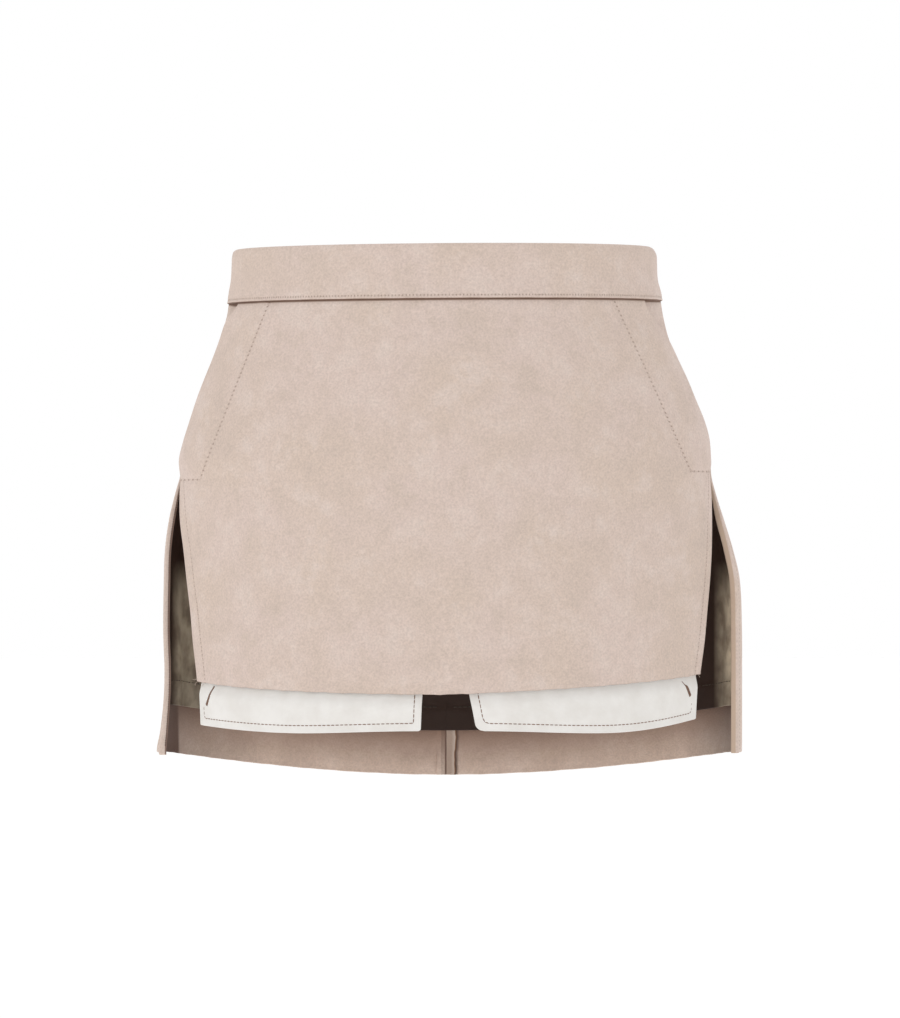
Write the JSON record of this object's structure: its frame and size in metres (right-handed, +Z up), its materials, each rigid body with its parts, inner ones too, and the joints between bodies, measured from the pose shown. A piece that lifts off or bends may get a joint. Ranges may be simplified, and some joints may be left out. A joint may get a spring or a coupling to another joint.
{
  "type": "suede mini skirt",
  "caption": "Suede mini skirt in its worn form, with slanted pockets, open side slits, a longer lined back, cotton pocket bags below the front hem, and a zip at centre back.",
  "frame": {"origin": "middle of the waistband, half-way up it, where the wearer's waist holds the skirt", "axes": "+X to the wearer's left (the picture's right side), -Y to the front, +Z up"},
  "size_m": [0.3856, 0.2416, 0.3556],
  "materials": {
    "suede": "napped suede, pale dusty pink beige",
    "satin": "satin lining, olive brown",
    "cotton": "plain woven cotton, white",
    "zip_tape": "woven zip tape, beige",
    "metal": "lacquered metal, beige"
  },
  "bodies": {
    "skirt": {"waistband": "suede", "front_panel": "suede", "back_panel_left": "suede", "back_panel_right": "suede", "pocket_facing_left": "suede", "pocket_facing_right": "suede", "pocket_bag_front_left": "cotton", "pocket_bag_front_right": "cotton", "pocket_bag_back_left": "cotton", "pocket_bag_back_right": "cotton", "lining_left": "satin", "lining_right": "satin", "zip_tape": "zip_tape", "zip_slider": "metal"},
    "zip_pull": {"zip_pull": "metal"}
  },
  "joints": [
    {"name": "pull_hinge", "type": "hinge", "parent": "skirt", "child": "zip_pull", "pos_m": [0, 0.09817, 0.014], "axis": [1, 0, 0], "range_deg": [0, 165]}
  ]
}
